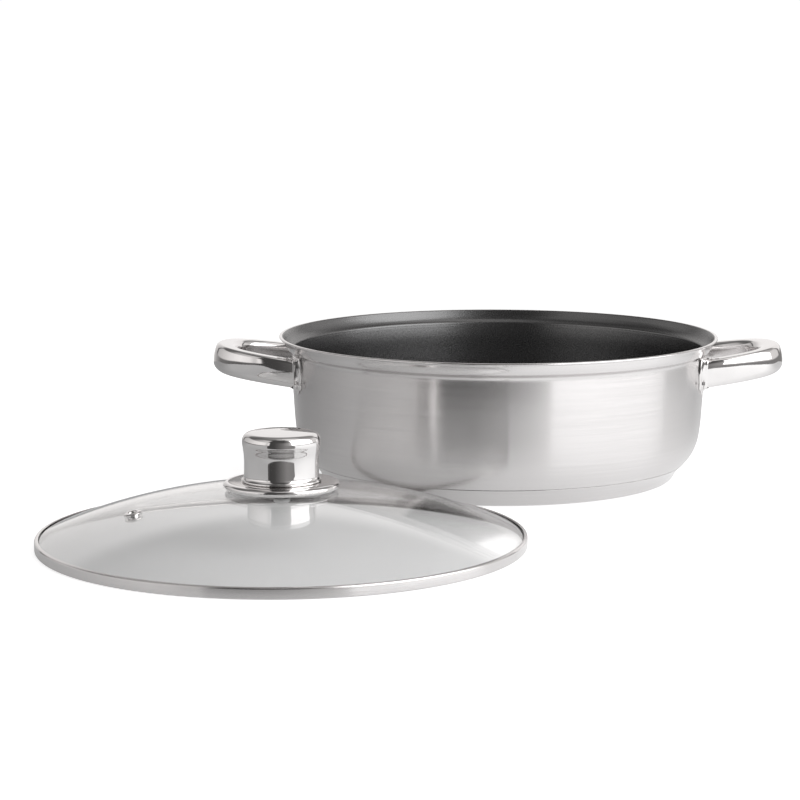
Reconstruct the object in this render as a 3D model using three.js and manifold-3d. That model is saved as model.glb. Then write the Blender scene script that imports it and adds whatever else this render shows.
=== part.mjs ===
// Wide two-handled cooking pot with a coated inside, and its domed glass lid.
// Millimetres, +Z up. The origin is the middle of the pot's base, on the surface it stands on.
// The handles lie along X. The lid lies on the same surface, in front of the pot and to its left.
import * as THREE from "three";
import { mergeVertices } from "three/addons/utils/BufferGeometryUtils.js";
import Module from "manifold-3d";

const wasm = await Module();
wasm.setup();

// ---------------------------------------------------------------- driving dimensions
const SEG = 40; // facets round the pot and the lid
const KNOB_SEG = 28; // facets round the knob and its fittings

const RIM_R = 145; // outer edge of the pouring lip
const POT_H = 94; // height of the lip
const SHEET = 1.0; // pressed steel of the pot
const BASE_R = 112.4; // flat of the base
const CAP_R = 124.6; // upper edge of the base cap
const CAP_H = 11.4; // height of the base cap
const CAP_T = 0.9; // sheet of the base cap
const CORE_R = 117.3; // heat-spreading disc inside the cap
const FLOOR_Z = 8.8; // underside of the pressed floor
const COAT_T = 0.4; // coating
const COAT_GAP = 0.1;

const HANDLE_REACH = 189; // outermost face of a handle, from the pot's axis
const HANDLE_RISE = 8; // degrees that a handle climbs outwards
const HANDLE_H = 18.3; // height of the handle's section
const HANDLE_WALL = 1.4; // sheet of the hollow handle
const LEG_Y = 38; // leg's middle at the wall
const PLATE_T = 1.7; // bracket plate
const COLLAR_OUT = 5.2; // how far the bracket's collar stands off the wall
const GAP = 0.3; // clearance between neighbouring pieces

const LID_X = -133.2; // lid's axis
const LID_Y = -226.2;
const LID_R = 142.2; // outside of the lid's band
const GLASS_R = 141.0;
const GLASS_T = 4.0;
const GLASS_EDGE_Z = 5.0; // top of the glass at its edge
const GLASS_TOP_Z = 33.6; // top of the glass in the middle
const VENT_R = 87.8; // vent's distance from the lid's axis
const VENT_ANGLE = 199; // degrees round the lid
const SCREW_R = 2.5;

// ---------------------------------------------------------------- helpers
const group = new THREE.Group();
group.name = "cooking_pot";

const steelSatin = () => new THREE.MeshStandardMaterial({ color: 0xb4b1ae, roughness: 0.36, metalness: 1.0 });
const steelPolished = () => new THREE.MeshStandardMaterial({ color: 0xd6d4d2, roughness: 0.08, metalness: 1.0 });
const coatingBlack = () => new THREE.MeshStandardMaterial({ color: 0x2b2a2c, roughness: 0.55, metalness: 0.0 });
const aluminium = () => new THREE.MeshStandardMaterial({ color: 0xc9cacc, roughness: 0.5, metalness: 1.0 });
const glassClear = () =>
  new THREE.MeshStandardMaterial({ color: 0xdfe3e2, roughness: 0.03, metalness: 0.0, transparent: true, opacity: 0.35 });
const silicone = () => new THREE.MeshStandardMaterial({ color: 0xd9d7d2, roughness: 0.7, metalness: 0.0 });
const phenolic = () => new THREE.MeshStandardMaterial({ color: 0x1d1c1b, roughness: 0.6, metalness: 0.0 });

function clean(geometry) {
  const g = geometry.clone();
  g.deleteAttribute("normal");
  g.deleteAttribute("uv");
  return mergeVertices(g, 1e-4);
}

function solid(geometry) {
  const g = clean(geometry);
  const tri = [];
  const ix = g.index.array;
  for (let i = 0; i < ix.length; i += 3) {
    const [a, b, c] = [ix[i], ix[i + 1], ix[i + 2]];
    if (a !== b && b !== c && c !== a) tri.push(a, b, c);
  }
  let made = new wasm.Manifold(
    new wasm.Mesh({ numProp: 3, vertProperties: g.attributes.position.array, triVerts: new Uint32Array(tri) }),
  );
  if (made.volume() < 0) {
    for (let i = 0; i < tri.length; i += 3) [tri[i + 1], tri[i + 2]] = [tri[i + 2], tri[i + 1]];
    made = new wasm.Manifold(
      new wasm.Mesh({ numProp: 3, vertProperties: g.attributes.position.array, triVerts: new Uint32Array(tri) }),
    );
  }
  return made;
}

function geometryOf(body) {
  const m = body.getMesh();
  const v = new Float32Array(m.numVert * 3);
  for (let i = 0; i < m.numVert; i++) v.set(m.vertProperties.subarray(i * m.numProp, i * m.numProp + 3), i * 3);
  const g = new THREE.BufferGeometry();
  g.setAttribute("position", new THREE.BufferAttribute(v, 3));
  g.setIndex(new THREE.BufferAttribute(new Uint32Array(m.triVerts), 1));
  g.computeVertexNormals();
  return g;
}

// A turned piece about Z from [radius, height] points. A ring's profile repeats its first point.
function turned(points, segments) {
  const p = points.map(([r, z]) => new THREE.Vector2(r, z));
  const g = new THREE.LatheGeometry(p, segments);
  g.rotateX(Math.PI / 2);
  return g;
}
const ring = (points, segments) => turned([...points, points[0]], segments);
const turnedSolid = (points, segments) => geometryOf(solid(turned(points, segments)));
const ringSolid = (points, segments) => geometryOf(solid(ring(points, segments)));

function add(parent, name, geometry, material) {
  const m = new THREE.Mesh(geometry, material);
  m.name = name;
  parent.add(m);
  return m;
}

const rad = (d) => (d * Math.PI) / 180;

// ---------------------------------------------------------------- pot
const pot = new THREE.Group();
group.add(pot);

// Outside of the pressed body, from the floor to the lip.
const wallOutside = [
  [113.4, FLOOR_Z],
  [117.5, 8.95],
  [119.8, 9.4],
  [121.6, 10.4],
  [124.1, 12.6], // the base cap's edge fits in this step
  [125.0, 11.9],
  [127.7, 15.2],
  [130.5, 19.8],
  [132.9, 26.5],
  [134.35, 36],
  [135.5, 52],
  [136.4, 68],
  [136.7, 82.6],
];
const flareOutside = [
  [137.9, 84.5],
  [140.0, 86.2],
  [141.7, 88.8],
  [142.7, 91.3],
  [143.5, 92.3],
  [144.5, 92.6],
  [RIM_R, 93.2],
  [144.8, 93.8],
  [144.2, POT_H],
];
const inside = [
  [143.2, POT_H],
  [142.6, 93.4],
  [141.6, 91.6],
  [140.6, 89.5],
  [139.0, 87.2],
  [137.0, 85.7],
  [135.9, 84.6],
  [135.7, 82.6],
  [135.4, 68],
  [134.5, 52],
  [133.35, 36.2],
  [131.9, 26.9],
  [129.6, 20.4],
  [126.9, 15.9],
  [124.3, 13.7],
  [121.6, 11.8],
  [119.2, 10.5],
  [116.6, 9.95],
  [113.4, FLOOR_Z + SHEET],
];
add(
  pot,
  "pot_shell",
  turnedSolid([[0, FLOOR_Z], ...wallOutside, ...flareOutside, ...inside, [0, FLOOR_Z + SHEET]], SEG),
  steelSatin(),
);

// Coating: the inside face pushed in by the gap and by its own thickness.
function inset(points, by) {
  return points.map(([r, z], i) => {
    const a = points[Math.max(0, i - 1)],
      b = points[Math.min(points.length - 1, i + 1)];
    const dr = b[0] - a[0],
      dz = b[1] - a[1],
      l = Math.hypot(dr, dz);
    return [r + (dz / l) * by, z - (dr / l) * by];
  });
}
const coated = inside.slice(1);
const coatOuter = inset(coated, COAT_GAP);
const coatInner = inset(coated, COAT_GAP + COAT_T);
const floorTop = FLOOR_Z + SHEET;
coatOuter[coatOuter.length - 1] = [113.4, floorTop + COAT_GAP];
coatInner[coatInner.length - 1] = [113.4, floorTop + COAT_GAP + COAT_T];
add(
  pot,
  "nonstick_coating",
  turnedSolid(
    [
      [0, floorTop + COAT_GAP],
      ...coatOuter.slice().reverse(),
      ...coatInner,
      [0, floorTop + COAT_GAP + COAT_T],
    ],
    SEG,
  ),
  coatingBlack(),
);

// Heat-spreading disc under the floor, and the steel cap that closes it in.
add(
  pot,
  "aluminium_core",
  turnedSolid(
    [
      [0, CAP_T + GAP],
      [111.9, CAP_T + GAP],
      [114.1, 1.6],
      [115.5, 2.35],
      [116.3, 3.4],
      [117.1, 5.2],
      [CORE_R, FLOOR_Z - GAP],
      [0, FLOOR_Z - GAP],
    ],
    SEG,
  ),
  aluminium(),
);
add(
  pot,
  "base_cap",
  turnedSolid(
    [
      [0, 0],
      [BASE_R, 0],
      [114.8, 0.4],
      [116.6, 1.3],
      [117.7, 2.8],
      [118.7, 4.8],
      [120.4, 7.2],
      [122.6, 9.6],
      [CAP_R, CAP_H],
      [123.9, 11.95],
      [121.9, 10.15],
      [119.65, 7.75],
      [117.85, 5.2],
      [116.9, 3.25],
      [116.0, 2.0],
      [114.4, 1.25],
      [112.2, CAP_T],
      [0, CAP_T],
    ],
    SEG,
  ),
  steelPolished(),
);

// Handles. Plan of the loop, out along +X, then raised and closed off at the wall.
function loopShape() {
  const s = new THREE.Shape();
  const end = HANDLE_REACH;
  s.moveTo(124, 44.8);
  s.lineTo(136, 44.4);
  s.bezierCurveTo(150, 43.6, 163, 40.4, 173.8, 33.2);
  s.bezierCurveTo(182.6, 26.8, end - 0.6, 16, end, 0);
  s.bezierCurveTo(end - 0.6, -16, 182.6, -26.8, 173.8, -33.2);
  s.bezierCurveTo(163, -40.4, 150, -43.6, 136, -44.4);
  s.lineTo(124, -44.8);
  s.lineTo(124, -31.6);
  s.lineTo(136, -31.6);
  s.bezierCurveTo(147, -31.0, 156, -28.8, 163.6, -24.4);
  s.bezierCurveTo(170.2, -20.2, 173.0, -12, 173.2, 0);
  s.bezierCurveTo(173.0, 12, 170.2, 20.2, 163.6, 24.4);
  s.bezierCurveTo(156, 28.8, 147, 31.0, 136, 31.6);
  s.lineTo(124, 31.6);
  s.closePath();
  return s;
}
const HANDLE_MID_Z = 72.4; // middle of the leg's section at the wall
const BEVEL = 2.6;
// The loop with its faces moved in by "inwards".
function loopBody(inwards) {
  const bevel = BEVEL - 0.5 * inwards;
  const height = HANDLE_H - 2 * inwards;
  const g = new THREE.ExtrudeGeometry(loopShape(), {
    depth: height - 2 * bevel,
    bevelEnabled: true,
    bevelThickness: bevel,
    bevelSize: bevel,
    bevelOffset: -bevel - inwards,
    bevelSegments: 2,
    curveSegments: 5,
  });
  g.translate(-130, 0, -(height - 2 * bevel) / 2);
  g.rotateY(-rad(HANDLE_RISE));
  g.translate(130, 0, HANDLE_MID_Z);
  return solid(g);
}
// Everything inside the wall's outside pushed out by "out", between two heights.
function wallCore(out) {
  return solid(
    turned(
      [
        [0, 40],
        [134.7 + out, 40],
        [135.5 + out, 52],
        [136.4 + out, 68],
        [136.7 + out, 82.6],
        [136.7 + out, 100],
        [0, 100],
      ],
      SEG,
    ),
  );
}
const flareKeepOut = solid(
  turned(
    [
      [0, 81.6],
      [137.0, 81.6],
      [138.3, 83.8],
      [140.5, 85.6],
      [142.3, 88.4],
      [143.4, 90.8],
      [145.5, 92.0],
      [146, 99],
      [0, 99],
    ],
    SEG,
  ),
);
const legTrim = wallCore(COLLAR_OUT + GAP).add(flareKeepOut);
// Hollow, and open where the legs meet the brackets.
const handleBody = loopBody(0).subtract(loopBody(HANDLE_WALL)).subtract(legTrim);
add(pot, "handle_right", geometryOf(handleBody), steelPolished());
add(pot, "handle_left", geometryOf(handleBody.rotate([0, 0, 180])), steelPolished());

// Brackets: a leaf-shaped plate that follows the wall, with a collar that takes the leg's end.
function leafShape() {
  const s = new THREE.Shape();
  s.moveTo(0, -13.2);
  s.bezierCurveTo(3.2, -10.6, 8.6, -6.6, 9.0, 0.6);
  s.bezierCurveTo(9.2, 5.0, 8.6, 8.4, 8.0, 11.6);
  s.lineTo(-8.0, 11.6);
  s.bezierCurveTo(-8.6, 8.4, -9.2, 5.0, -9.0, 0.6);
  s.bezierCurveTo(-8.6, -6.6, -3.2, -10.6, 0, -13.2);
  s.closePath();
  return s;
}
function collarShape() {
  const s = new THREE.Shape();
  const w = 7.2,
    h = 9.6,
    r = 2.8;
  s.moveTo(-w + r, -h);
  s.lineTo(w - r, -h);
  s.quadraticCurveTo(w, -h, w, -h + r);
  s.lineTo(w, h - r);
  s.quadraticCurveTo(w, h, w - r, h);
  s.lineTo(-w + r, h);
  s.quadraticCurveTo(-w, h, -w, h - r);
  s.lineTo(-w, -h + r);
  s.quadraticCurveTo(-w, -h, -w + r, -h);
  s.closePath();
  return s;
}
// A prism of the shape, pointing along +X at the front leg's place on the wall.
function prismAtLeg(shape, from, to, turnDeg, zMid) {
  const g = new THREE.ExtrudeGeometry(shape, { depth: to - from, bevelEnabled: false, curveSegments: 4 });
  g.translate(0, 0, from);
  g.rotateX(Math.PI / 2);
  g.rotateZ(Math.PI / 2);
  g.rotateZ(rad(turnDeg));
  const a = Math.asin(LEG_Y / 136);
  g.translate(136 * Math.cos(a), LEG_Y, zMid);
  return solid(g);
}
const legTurn = (Math.asin(LEG_Y / 136) * 180) / Math.PI;
const plate = prismAtLeg(leafShape(), -12, 12, legTurn, HANDLE_MID_Z)
  .intersect(wallCore(GAP + PLATE_T))
  .subtract(wallCore(GAP));
const collar = prismAtLeg(collarShape(), -12, 16, 4, HANDLE_MID_Z + 0.4)
  .intersect(wallCore(COLLAR_OUT))
  .subtract(wallCore(GAP + PLATE_T - 0.2));
const bracketRightRear = plate.add(collar).subtract(flareKeepOut);
const flip = new THREE.Matrix4().makeScale(1, -1, 1).elements;
const bracketRightFront = bracketRightRear.transform(Array.from(flip));
add(pot, "handle_bracket_right_rear", geometryOf(bracketRightRear), steelPolished());
add(pot, "handle_bracket_right_front", geometryOf(bracketRightFront), steelPolished());
add(pot, "handle_bracket_left_front", geometryOf(bracketRightRear.rotate([0, 0, 180])), steelPolished());
add(pot, "handle_bracket_left_rear", geometryOf(bracketRightFront.rotate([0, 0, 180])), steelPolished());

// ---------------------------------------------------------------- lid
const lid = new THREE.Group();
lid.position.set(LID_X, LID_Y, 0);
group.add(lid);

// Top of the glass at a radius: part of a sphere.
const RISE = GLASS_TOP_Z - GLASS_EDGE_Z;
const DOME_R = (GLASS_R * GLASS_R + RISE * RISE) / (2 * RISE);
const domeZ = (r) => GLASS_TOP_Z - DOME_R + Math.sqrt(DOME_R * DOME_R - r * r);
const HOLE_R = 4.2;
const domeRadii = [HOLE_R, 20, 42, 62, 82, 100, 116, 129, 138];
const glassTop = domeRadii.map((r) => [r, domeZ(r)]);
const glassUnder = domeRadii.map((r) => [r, domeZ(r) - GLASS_T]);
const glassBlank = solid(
  ring(
    [
      ...glassUnder,
      [GLASS_R - 0.5, domeZ(GLASS_R) - GLASS_T + 0.2],
      [GLASS_R, domeZ(GLASS_R) - GLASS_T + 0.8],
      [GLASS_R, domeZ(GLASS_R) - 0.7],
      [GLASS_R - 0.6, domeZ(GLASS_R)],
      ...glassTop.slice().reverse(),
    ],
    SEG,
  ),
);
// The vent stands square on the dome.
const ventA = rad(VENT_ANGLE);
const ventAt = new THREE.Vector3(VENT_R * Math.cos(ventA), VENT_R * Math.sin(ventA), domeZ(VENT_R));
const ventTilt = Math.asin(VENT_R / DOME_R);
const ventFrame = new THREE.Matrix4()
  .makeTranslation(ventAt.x, ventAt.y, ventAt.z)
  .multiply(new THREE.Matrix4().makeRotationZ(ventA))
  .multiply(new THREE.Matrix4().makeRotationY(ventTilt));
const ventBore = new THREE.CylinderGeometry(3.6, 3.6, 20, 20);
ventBore.rotateX(Math.PI / 2);
ventBore.applyMatrix4(ventFrame);
add(lid, "lid_glass", geometryOf(glassBlank.subtract(solid(ventBore))), glassClear());

const ventGroup = new THREE.Group();
ventGroup.applyMatrix4(ventFrame);
lid.add(ventGroup);
add(
  ventGroup,
  "vent_eyelet",
  ringSolid(
    [
      [2.3, -6.2],
      [3.2, -6.2],
      [3.2, 0.45],
      [5.2, 0.45],
      [5.3, 0.8],
      [4.6, 1.3],
      [3.2, 1.5],
      [2.5, 1.2],
      [2.3, 0.6],
    ],
    20,
  ),
  steelPolished(),
);
add(
  ventGroup,
  "vent_backing_ring",
  ringSolid(
    [
      [3.5, -5.6],
      [5.2, -5.6],
      [5.2, -4.6],
      [3.5, -4.6],
    ],
    20,
  ),
  steelPolished(),
);

add(
  lid,
  "lid_rim_band",
  ringSolid(
    [
      [137.0, 0],
      [141.2, 0],
      [142.0, 0.5],
      [LID_R, 1.3],
      [LID_R, 4.9],
      [141.8, 5.75],
      [141.0, 6.2],
      [140.0, 6.5],
      [139.9, 5.95],
      [140.9, 5.6],
      [141.4, 5.0],
      [141.4, 1.3],
      [141.0, 0.7],
      [137.0, 0.6],
    ],
    SEG,
  ),
  steelSatin(),
);

// Fastening of the knob, from the glass downwards and upwards.
const underZ = GLASS_TOP_Z - GLASS_T;
add(
  lid,
  "upper_gasket",
  ringSolid(
    [
      [2.9, underZ + 0.3],
      [3.8, underZ + 0.3],
      [3.8, GLASS_TOP_Z + 0.3],
      [13.0, GLASS_TOP_Z + 0.3],
      [13.4, GLASS_TOP_Z + 0.8],
      [13.0, GLASS_TOP_Z + 1.4],
      [2.9, GLASS_TOP_Z + 1.4],
    ],
    24,
  ),
  silicone(),
);
add(
  lid,
  "lower_gasket",
  ringSolid(
    [
      [2.9, underZ - 1.8],
      [12.0, underZ - 1.8],
      [12.4, underZ - 1.2],
      [12.0, underZ - 0.5],
      [2.9, underZ - 0.5],
    ],
    24,
  ),
  silicone(),
);
add(
  lid,
  "clamp_washer",
  ringSolid(
    [
      [2.8, underZ - 3.1],
      [10.6, underZ - 3.1],
      [11.0, underZ - 2.7],
      [11.0, underZ - 1.95],
      [2.8, underZ - 1.95],
    ],
    24,
  ),
  steelPolished(),
);
// Spring washer: a split ring.
const lockRing = solid(
  ring(
    [
      [2.8, underZ - 4.4],
      [4.5, underZ - 4.4],
      [4.5, underZ - 3.25],
      [2.8, underZ - 3.25],
    ],
    24,
  ),
);
const lockSplit = new THREE.BoxGeometry(4, 0.9, 4);
lockSplit.rotateX(rad(24));
lockSplit.translate(3.8, 0, underZ - 3.8);
add(lid, "lock_washer", geometryOf(lockRing.subtract(solid(lockSplit))), steelPolished());

const SCREW_TOP = GLASS_TOP_Z + 15.6;
const screwBlank = solid(
  turned(
    [
      [0, underZ - 7.4],
      [3.2, underZ - 7.4],
      [4.6, underZ - 6.4],
      [4.8, underZ - 5.0],
      [4.8, underZ - 4.55],
      [SCREW_R, underZ - 4.55],
      [SCREW_R, SCREW_TOP - 0.7],
      [SCREW_R - 0.6, SCREW_TOP],
      [0, SCREW_TOP],
    ],
    24,
  ),
);
const slotA = new THREE.BoxGeometry(5.2, 1.1, 3.2);
slotA.translate(0, 0, underZ - 7.4);
const slotB = new THREE.BoxGeometry(1.1, 5.2, 3.2);
slotB.translate(0, 0, underZ - 7.4);
add(lid, "knob_screw", geometryOf(screwBlank.subtract(solid(slotA)).subtract(solid(slotB))), steelPolished());

// Skirt plate under the knob.
const SKIRT_Z = GLASS_TOP_Z + 1.7;
add(
  lid,
  "knob_skirt",
  ringSolid(
    [
      [2.9, SKIRT_Z],
      [14.8, SKIRT_Z],
      [16.4, SKIRT_Z - 0.6],
      [30.2, SKIRT_Z - 2.0],
      [31.6, SKIRT_Z - 2.5],
      [32.8, SKIRT_Z - 2.4],
      [33.6, SKIRT_Z - 1.5],
      [33.4, SKIRT_Z - 0.6],
      [32.4, SKIRT_Z - 0.2],
      [32.0, SKIRT_Z + 0.6],
      [30.8, SKIRT_Z + 1.3],
      [26.0, SKIRT_Z + 1.9],
      [2.9, SKIRT_Z + 2.0],
    ],
    KNOB_SEG,
  ),
  steelPolished(),
);

// Knob: a pressed steel cap round a moulded core that holds the thread.
const FOOT_Z = SKIRT_Z + 2.3;
const knobUp = (points) => points.map(([r, z]) => [r, FOOT_Z + z]);
add(
  lid,
  "knob_shell",
  turnedSolid(
    knobUp([
      [20.9, 0],
      [23.2, 0],
      [23.3, 0.7],
      [22.2, 1.7],
      [21.7, 4.0],
      [21.6, 10.0],
      [21.8, 15.0],
      [22.4, 19.5],
      [22.75, 22.3],
      [22.6, 24.6],
      [21.6, 26.6],
      [19.7, 27.7],
      [15.0, 28.25],
      [8.0, 28.5],
      [0, 28.6],
      [0, 27.6],
      [14.6, 27.2],
      [19.1, 26.7],
      [20.7, 25.6],
      [21.5, 24.0],
      [21.6, 22.2],
      [21.3, 19.5],
      [20.8, 15.0],
      [20.6, 10.0],
      [20.6, 1.4],
      [20.9, 0],
    ]),
    KNOB_SEG,
  ),
  steelPolished(),
);
add(
  lid,
  "knob_insert",
  turnedSolid(
    knobUp([
      [2.8, 0.3],
      [19.2, 0.3],
      [19.9, 1.0],
      [19.9, 10.0],
      [20.2, 15.5],
      [20.6, 20.0],
      [19.6, 24.4],
      [14.4, 26.4],
      [0, 26.9],
      [0, 14.6],
      [2.8, 13.4],
      [2.8, 0.3],
    ]),
    KNOB_SEG,
  ),
  phenolic(),
);

export default group;
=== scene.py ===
# Looks of a wide two-handled cooking pot with a coated inside and a domed glass lid.
# Lengths in the tables below are millimetres; the meshes are metres, in the frame's own axes.
import math

import bmesh
import bpy
from mathutils import Matrix, Vector


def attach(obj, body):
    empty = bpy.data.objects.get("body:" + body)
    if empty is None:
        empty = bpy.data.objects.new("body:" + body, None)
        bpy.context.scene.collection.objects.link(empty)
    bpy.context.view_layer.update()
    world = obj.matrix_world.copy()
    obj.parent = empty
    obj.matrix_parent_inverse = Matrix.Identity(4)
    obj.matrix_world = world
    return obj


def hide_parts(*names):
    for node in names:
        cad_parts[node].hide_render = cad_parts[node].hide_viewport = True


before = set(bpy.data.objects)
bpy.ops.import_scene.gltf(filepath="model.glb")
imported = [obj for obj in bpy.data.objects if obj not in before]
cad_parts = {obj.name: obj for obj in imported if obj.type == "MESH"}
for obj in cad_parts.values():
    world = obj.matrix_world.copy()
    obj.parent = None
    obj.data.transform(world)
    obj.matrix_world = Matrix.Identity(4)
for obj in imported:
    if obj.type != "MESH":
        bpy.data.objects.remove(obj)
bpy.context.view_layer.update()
MM = 0.001
scene = bpy.context.scene

# ---------------------------------------------------------------- camera
cam_data = bpy.data.cameras.new("camera")
cam = bpy.data.objects.new("camera", cam_data)
scene.collection.objects.link(cam)
cam.location = (-0.0649, -1.6395, 0.2989)
cam.rotation_euler = (math.radians(90 - 8.639), 0, 0)
cam_data.sensor_width = 36
cam_data.lens = 112.0
cam_data.clip_start, cam_data.clip_end = 0.05, 60
scene.camera = cam

# ---------------------------------------------------------------- curves and meshes


def spline(points, n=8):
    """A smooth line through the points (centripetal Catmull-Rom), n steps between each two."""
    p = [Vector(q) for q in points]
    p = [p[0] * 2 - p[1]] + p + [p[-1] * 2 - p[-2]]
    out = []
    for i in range(1, len(p) - 2):
        p0, p1, p2, p3 = p[i - 1 : i + 3]
        t0 = 0.0
        t1 = t0 + max((p1 - p0).length, 1e-9) ** 0.5
        t2 = t1 + max((p2 - p1).length, 1e-9) ** 0.5
        t3 = t2 + max((p3 - p2).length, 1e-9) ** 0.5
        for k in range(n):
            t = t1 + (t2 - t1) * k / n
            a1 = p0 * ((t1 - t) / (t1 - t0)) + p1 * ((t - t0) / (t1 - t0))
            a2 = p1 * ((t2 - t) / (t2 - t1)) + p2 * ((t - t1) / (t2 - t1))
            a3 = p2 * ((t3 - t) / (t3 - t2)) + p3 * ((t - t2) / (t3 - t2))
            b1 = a1 * ((t2 - t) / (t2 - t0)) + a2 * ((t - t0) / (t2 - t0))
            b2 = a2 * ((t3 - t) / (t3 - t1)) + a3 * ((t - t1) / (t3 - t1))
            out.append(tuple(b1 * ((t2 - t) / (t2 - t1)) + b2 * ((t - t1) / (t2 - t1))))
    out.append(tuple(p[-2]))
    return out


def rounded(points, radius, n=5, closed=True):
    """The polygon with each corner replaced by an arc; radius may be one number or one for each corner."""
    radii = [radius] * len(points) if isinstance(radius, (int, float)) else radius
    out = []
    count = len(points)
    for i, q in enumerate(points):
        if radii[i] <= 0 or (not closed and i in (0, count - 1)):
            out.append(tuple(q))
            continue
        q = Vector(q)
        a, b = Vector(points[i - 1]) - q, Vector(points[(i + 1) % count]) - q
        la, lb = a.length, b.length
        a.normalize(), b.normalize()
        half = math.acos(max(-1, min(1, a.dot(b)))) / 2
        back = min(radii[i] / math.tan(half), 0.49 * la, 0.49 * lb)
        r = back * math.tan(half)
        mid = (a + b).normalized()
        centre = q + mid * (r / math.sin(half))
        s, e = q + a * back - centre, q + b * back - centre
        turn = math.pi - 2 * half
        side = 1 if s.x * e.y - s.y * e.x > 0 else -1
        for k in range(n + 1):
            w = side * turn * k / n
            out.append((centre.x + s.x * math.cos(w) - s.y * math.sin(w), centre.y + s.x * math.sin(w) + s.y * math.cos(w)))
    return out


def offset(points, by):
    """An open line moved sideways by that much, to the left of its direction."""
    out = []
    for i, q in enumerate(points):
        a, b = points[max(0, i - 1)], points[min(len(points) - 1, i + 1)]
        dr, dz = b[0] - a[0], b[1] - a[1]
        l = math.hypot(dr, dz)
        out.append((q[0] - dz / l * by, q[1] + dr / l * by))
    return out


def piece(name, verts, faces, materials, face_mats=None, sharp=40, at=None):
    """A mesh object from millimetres, faces out, smooth except at real edges."""
    me = bpy.data.meshes.new(name)
    me.from_pydata([(x * MM, y * MM, z * MM) for x, y, z in verts], [], faces)
    for m in materials:
        me.materials.append(m)
    if face_mats:
        me.polygons.foreach_set("material_index", face_mats)
    if at is not None:
        me.transform(at)
    bm = bmesh.new()
    bm.from_mesh(me)
    bmesh.ops.remove_doubles(bm, verts=bm.verts, dist=1e-7)
    bmesh.ops.recalc_face_normals(bm, faces=bm.faces)
    if bm.calc_volume(signed=True) < 0:
        bmesh.ops.reverse_faces(bm, faces=bm.faces)
    bm.to_mesh(me)
    bm.free()
    finish_shading(me, sharp)
    ob = bpy.data.objects.new(name, me)
    scene.collection.objects.link(ob)
    return ob


def finish_shading(me, sharp):
    for p in me.polygons:
        p.use_smooth = True
    me.set_sharp_from_angle(angle=math.radians(sharp))


def turned(name, profile, materials, kinds=None, seg=192, axis=(0, 0), ring=False, sharp=40, at=None):
    """A turned piece from a profile of (radius, height). kinds gives each profile step its material's number."""
    cols = []
    verts = []
    for r, z in profile:
        if r < 1e-6:
            cols.append([len(verts)] * seg)
            verts.append((axis[0], axis[1], z))
        else:
            start = len(verts)
            for i in range(seg):
                a = 2 * math.pi * i / seg
                verts.append((axis[0] + r * math.cos(a), axis[1] + r * math.sin(a), z))
            cols.append(list(range(start, start + seg)))
    faces, mats = [], []
    last = len(profile) if ring else len(profile) - 1
    for j in range(last):
        k = (j + 1) % len(profile)
        for i in range(seg):
            i2 = (i + 1) % seg
            f = [cols[j][i], cols[j][i2], cols[k][i2], cols[k][i]]
            g = []
            for v in f:
                if v not in g:
                    g.append(v)
            if len(g) > 2:
                faces.append(g)
                mats.append(kinds[j] if kinds else 0)
    return piece(name, verts, faces, materials, mats, sharp, at)


def cut(ob, other):
    """ob less other, as a plain mesh."""
    m = ob.modifiers.new("cut", "BOOLEAN")
    m.operation, m.object, m.solver = "DIFFERENCE", other, "EXACT"
    dg = bpy.context.evaluated_depsgraph_get()
    made = bpy.data.meshes.new_from_object(ob.evaluated_get(dg))
    ob.modifiers.clear()
    old = ob.data
    ob.data = made
    bpy.data.meshes.remove(old)
    tool = other.data
    bpy.data.objects.remove(other)
    bpy.data.meshes.remove(tool)
    return ob


def settle(ob, body, slot, *nodes):
    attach(ob, body)
    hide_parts(*nodes)
    return ob


# ---------------------------------------------------------------- materials


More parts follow.
